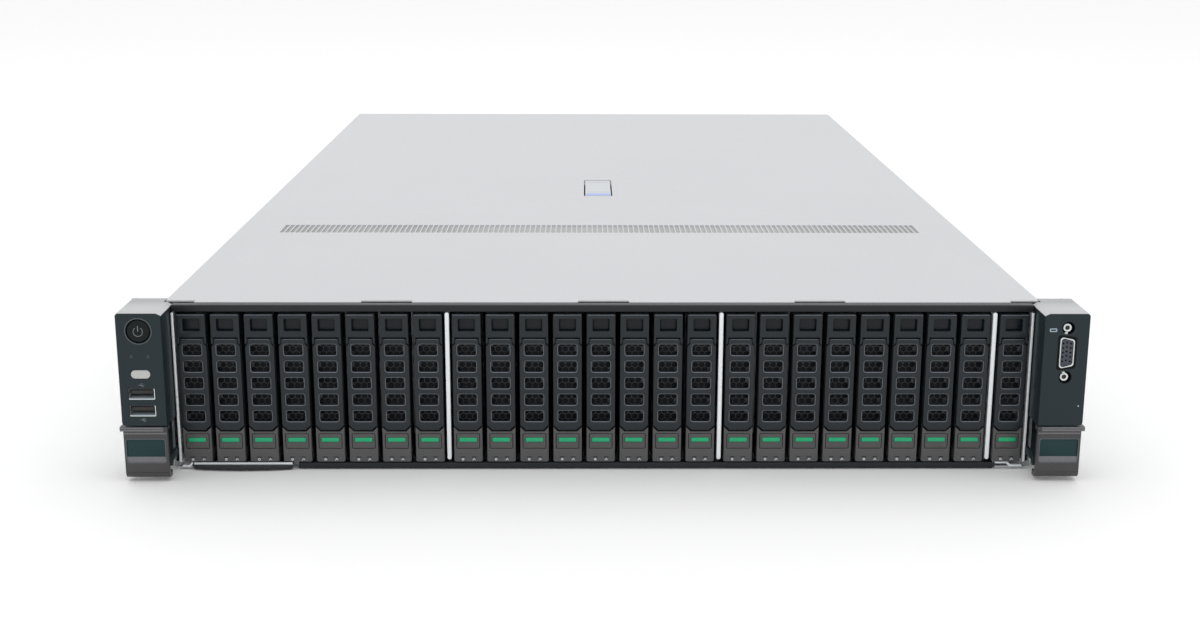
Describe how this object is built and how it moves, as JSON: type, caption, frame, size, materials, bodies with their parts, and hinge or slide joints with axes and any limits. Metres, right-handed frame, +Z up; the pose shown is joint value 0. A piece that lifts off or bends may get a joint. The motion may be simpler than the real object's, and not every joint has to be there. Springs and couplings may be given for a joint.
{
  "type": "rack server",
  "caption": "Two-unit rack server: front drive bays with ejector levers, rack ears with latches, removable cover, fans, boards and hot-swap supplies.",
  "frame": {"origin": "plane where the ears meet the rack posts, mid width, level with the chassis bottom", "axes": "+X to the right seen from the front, +Y to the rear, +Z up"},
  "size_m": [0.4858, 0.7976, 0.0875],
  "materials": {
    "cover_steel": "satin galvanised",
    "chassis_steel": "galvanised",
    "bright_steel": "bright",
    "frame_black": "black satin",
    "carrier_grey": "dark charcoal",
    "ear_teal": "dark teal black",
    "latch_gloss": "glossy dark teal",
    "button_black": "gloss",
    "button_silver": "silver",
    "release_green": "dark button with green bar",
    "port_metal": "nickel",
    "screw_steel": "nickel",
    "board_green": "solder mask",
    "fin_aluminium": "plain",
    "memory_board": "solder mask",
    "baffle_plastic": "satin",
    "fan_plastic": "satin",
    "rotor_plastic": "satin",
    "supply_case": "satin",
    "touch_blue": "pale blue and grey",
    "tab_plastic": "satin"
  },
  "bodies": {
    "chassis": {"chassis_base": "chassis_steel", "rear_panel": "chassis_steel", "front_frame": "frame_black", "drive_cage": "bright_steel", "drive_backplane": "board_green", "left_ear": "ear_teal", "right_ear": "ear_teal", "front_ports": "port_metal", "captive_screws": "screw_steel", "fan_cage": "chassis_steel", "fan_housings": "fan_plastic", "motherboard": "board_green", "cpu_heatsinks": "fin_aluminium", "memory_modules": "memory_board", "air_baffle": "baffle_plastic", "riser_cages": "chassis_steel"},
    "left_ear_latch": {"left_ear_latch": "latch_gloss"},
    "right_ear_latch": {"right_ear_latch": "latch_gloss"},
    "power_button": {"power_button": "button_black"},
    "uid_button": {"uid_button": "button_silver"},
    "label_tab": {"label_tab": "tab_plastic"},
    "top_cover": {"top_cover": "cover_steel"},
    "cover_latch": {"cover_latch": "touch_blue"},
    "drive_25_lever": {"drive_25_lever": "carrier_grey"},
    "drive_25_button": {"drive_25_button": "release_green"},
    "fan_rotor_1": {"fan_rotor_1": "rotor_plastic"},
    "fan_rotor_2": {"fan_rotor_2": "rotor_plastic"},
    "fan_rotor_3": {"fan_rotor_3": "rotor_plastic"},
    "fan_rotor_4": {"fan_rotor_4": "rotor_plastic"},
    "fan_rotor_5": {"fan_rotor_5": "rotor_plastic"},
    "fan_rotor_6": {"fan_rotor_6": "rotor_plastic"},
    "psu_1": {"psu_1": "supply_case"},
    "psu_2": {"psu_2": "supply_case"},
    "psu_1_latch": {"psu_1_latch": "release_green"},
    "psu_2_latch": {"psu_2_latch": "release_green"},
    "drive_01": {"drive_01": "carrier_grey"},
    "drive_02": {"drive_02": "carrier_grey"},
    "drive_03": {"drive_03": "carrier_grey"},
    "drive_04": {"drive_04": "carrier_grey"},
    "drive_05": {"drive_05": "carrier_grey"},
    "drive_06": {"drive_06": "carrier_grey"},
    "drive_07": {"drive_07": "carrier_grey"},
    "drive_08": {"drive_08": "carrier_grey"},
    "drive_09": {"drive_09": "carrier_grey"},
    "drive_10": {"drive_10": "carrier_grey"},
    "drive_11": {"drive_11": "carrier_grey"},
    "drive_12": {"drive_12": "carrier_grey"},
    "drive_13": {"drive_13": "carrier_grey"},
    "drive_14": {"drive_14": "carrier_grey"},
    "drive_15": {"drive_15": "carrier_grey"},
    "drive_16": {"drive_16": "carrier_grey"},
    "drive_17": {"drive_17": "carrier_grey"},
    "drive_18": {"drive_18": "carrier_grey"},
    "drive_19": {"drive_19": "carrier_grey"},
    "drive_20": {"drive_20": "carrier_grey"},
    "drive_21": {"drive_21": "carrier_grey"},
    "drive_22": {"drive_22": "carrier_grey"},
    "drive_23": {"drive_23": "carrier_grey"},
    "drive_24": {"drive_24": "carrier_grey"},
    "drive_25": {"drive_25": "carrier_grey"}
  },
  "joints": [
    {"name": "left_ear_latch_hinge", "type": "hinge", "parent": "chassis", "child": "left_ear_latch", "pos_m": [-0.23005, -0.0263, 0.0087], "axis": [1, 0, 0], "range_deg": [0, 80]},
    {"name": "right_ear_latch_hinge", "type": "hinge", "parent": "chassis", "child": "right_ear_latch", "pos_m": [0.23005, -0.0263, 0.0087], "axis": [1, 0, 0], "range_deg": [0, 80]},
    {"name": "power_button_press", "type": "slide", "parent": "chassis", "child": "power_button", "axis": [0, 1, 0], "range_m": [0, 0.0011], "stiffness_N_per_m": 800, "springref_m": -0.0006},
    {"name": "uid_button_press", "type": "slide", "parent": "chassis", "child": "uid_button", "axis": [0, 1, 0], "range_m": [0, 0.0011], "stiffness_N_per_m": 600, "springref_m": -0.0006},
    {"name": "label_tab_slide", "type": "slide", "parent": "chassis", "child": "label_tab", "axis": [0, -1, 0], "range_m": [0, 0.06]},
    {"name": "top_cover_lift", "type": "slide", "parent": "chassis", "child": "top_cover", "axis": [0, 0, 1], "range_m": [0, 0.15]},
    {"name": "cover_latch_hinge", "type": "hinge", "parent": "top_cover", "child": "cover_latch", "pos_m": [0, 0.359, 0.0845], "axis": [-1, 0, 0], "range_deg": [0, 75]},
    {"name": "drive_25_lever_hinge", "type": "hinge", "parent": "drive_25", "child": "drive_25_lever", "pos_m": [0.20857, -0.0136, 0.0685], "axis": [-1, 0, 0], "range_deg": [0, 45]},
    {"name": "drive_25_button_press", "type": "slide", "parent": "drive_25", "child": "drive_25_button", "axis": [0, 1, 0], "range_m": [0, 0.0015], "stiffness_N_per_m": 500, "springref_m": -0.0006},
    {"name": "fan_1_spin", "type": "hinge", "parent": "chassis", "child": "fan_rotor_1", "pos_m": [-0.18, 0.20875, 0.0404], "axis": [0, 1, 0], "continuous": true},
    {"name": "fan_2_spin", "type": "hinge", "parent": "chassis", "child": "fan_rotor_2", "pos_m": [-0.108, 0.20875, 0.0404], "axis": [0, 1, 0], "continuous": true},
    {"name": "fan_3_spin", "type": "hinge", "parent": "chassis", "child": "fan_rotor_3", "pos_m": [-0.036, 0.20875, 0.0404], "axis": [0, 1, 0], "continuous": true},
    {"name": "fan_4_spin", "type": "hinge", "parent": "chassis", "child": "fan_rotor_4", "pos_m": [0.036, 0.20875, 0.0404], "axis": [0, 1, 0], "continuous": true},
    {"name": "fan_5_spin", "type": "hinge", "parent": "chassis", "child": "fan_rotor_5", "pos_m": [0.108, 0.20875, 0.0404], "axis": [0, 1, 0], "continuous": true},
    {"name": "fan_6_spin", "type": "hinge", "parent": "chassis", "child": "fan_rotor_6", "pos_m": [0.18, 0.20875, 0.0404], "axis": [0, 1, 0], "continuous": true},
    {"name": "psu_1_slide", "type": "slide", "parent": "chassis", "child": "psu_1", "axis": [0, 1, 0], "range_m": [0, 0.2]},
    {"name": "psu_2_slide", "type": "slide", "parent": "chassis", "child": "psu_2", "axis": [0, 1, 0], "range_m": [0, 0.2]},
    {"name": "psu_1_latch_hinge", "type": "hinge", "parent": "psu_1", "child": "psu_1_latch", "pos_m": [-0.1492, 0.742, 0.0215], "axis": [0, 0, 1], "range_deg": [0, 12], "stiffness_Nm_per_rad": 0.15, "springref_deg": -8.59},
    {"name": "psu_2_latch_hinge", "type": "hinge", "parent": "psu_2", "child": "psu_2_latch", "pos_m": [-0.0741, 0.742, 0.0215], "axis": [0, 0, 1], "range_deg": [0, 12], "stiffness_Nm_per_rad": 0.15, "springref_deg": -8.59},
    {"name": "drive_01_slide", "type": "slide", "parent": "chassis", "child": "drive_01", "axis": [0, -1, 0], "range_m": [0, 0.14]},
    {"name": "drive_02_slide", "type": "slide", "parent": "chassis", "child": "drive_02", "axis": [0, -1, 0], "range_m": [0, 0.14]},
    {"name": "drive_03_slide", "type": "slide", "parent": "chassis", "child": "drive_03", "axis": [0, -1, 0], "range_m": [0, 0.14]},
    {"name": "drive_04_slide", "type": "slide", "parent": "chassis", "child": "drive_04", "axis": [0, -1, 0], "range_m": [0, 0.14]},
    {"name": "drive_05_slide", "type": "slide", "parent": "chassis", "child": "drive_05", "axis": [0, -1, 0], "range_m": [0, 0.14]},
    {"name": "drive_06_slide", "type": "slide", "parent": "chassis", "child": "drive_06", "axis": [0, -1, 0], "range_m": [0, 0.14]},
    {"name": "drive_07_slide", "type": "slide", "parent": "chassis", "child": "drive_07", "axis": [0, -1, 0], "range_m": [0, 0.14]},
    {"name": "drive_08_slide", "type": "slide", "parent": "chassis", "child": "drive_08", "axis": [0, -1, 0], "range_m": [0, 0.14]},
    {"name": "drive_09_slide", "type": "slide", "parent": "chassis", "child": "drive_09", "axis": [0, -1, 0], "range_m": [0, 0.14]},
    {"name": "drive_10_slide", "type": "slide", "parent": "chassis", "child": "drive_10", "axis": [0, -1, 0], "range_m": [0, 0.14]},
    {"name": "drive_11_slide", "type": "slide", "parent": "chassis", "child": "drive_11", "axis": [0, -1, 0], "range_m": [0, 0.14]},
    {"name": "drive_12_slide", "type": "slide", "parent": "chassis", "child": "drive_12", "axis": [0, -1, 0], "range_m": [0, 0.14]},
    {"name": "drive_13_slide", "type": "slide", "parent": "chassis", "child": "drive_13", "axis": [0, -1, 0], "range_m": [0, 0.14]},
    {"name": "drive_14_slide", "type": "slide", "parent": "chassis", "child": "drive_14", "axis": [0, -1, 0], "range_m": [0, 0.14]},
    {"name": "drive_15_slide", "type": "slide", "parent": "chassis", "child": "drive_15", "axis": [0, -1, 0], "range_m": [0, 0.14]},
    {"name": "drive_16_slide", "type": "slide", "parent": "chassis", "child": "drive_16", "axis": [0, -1, 0], "range_m": [0, 0.14]},
    {"name": "drive_17_slide", "type": "slide", "parent": "chassis", "child": "drive_17", "axis": [0, -1, 0], "range_m": [0, 0.14]},
    {"name": "drive_18_slide", "type": "slide", "parent": "chassis", "child": "drive_18", "axis": [0, -1, 0], "range_m": [0, 0.14]},
    {"name": "drive_19_slide", "type": "slide", "parent": "chassis", "child": "drive_19", "axis": [0, -1, 0], "range_m": [0, 0.14]},
    {"name": "drive_20_slide", "type": "slide", "parent": "chassis", "child": "drive_20", "axis": [0, -1, 0], "range_m": [0, 0.14]},
    {"name": "drive_21_slide", "type": "slide", "parent": "chassis", "child": "drive_21", "axis": [0, -1, 0], "range_m": [0, 0.14]},
    {"name": "drive_22_slide", "type": "slide", "parent": "chassis", "child": "drive_22", "axis": [0, -1, 0], "range_m": [0, 0.14]},
    {"name": "drive_23_slide", "type": "slide", "parent": "chassis", "child": "drive_23", "axis": [0, -1, 0], "range_m": [0, 0.14]},
    {"name": "drive_24_slide", "type": "slide", "parent": "chassis", "child": "drive_24", "axis": [0, -1, 0], "range_m": [0, 0.14]},
    {"name": "drive_25_slide", "type": "slide", "parent": "chassis", "child": "drive_25", "axis": [0, -1, 0], "range_m": [0, 0.14]}
  ]
}
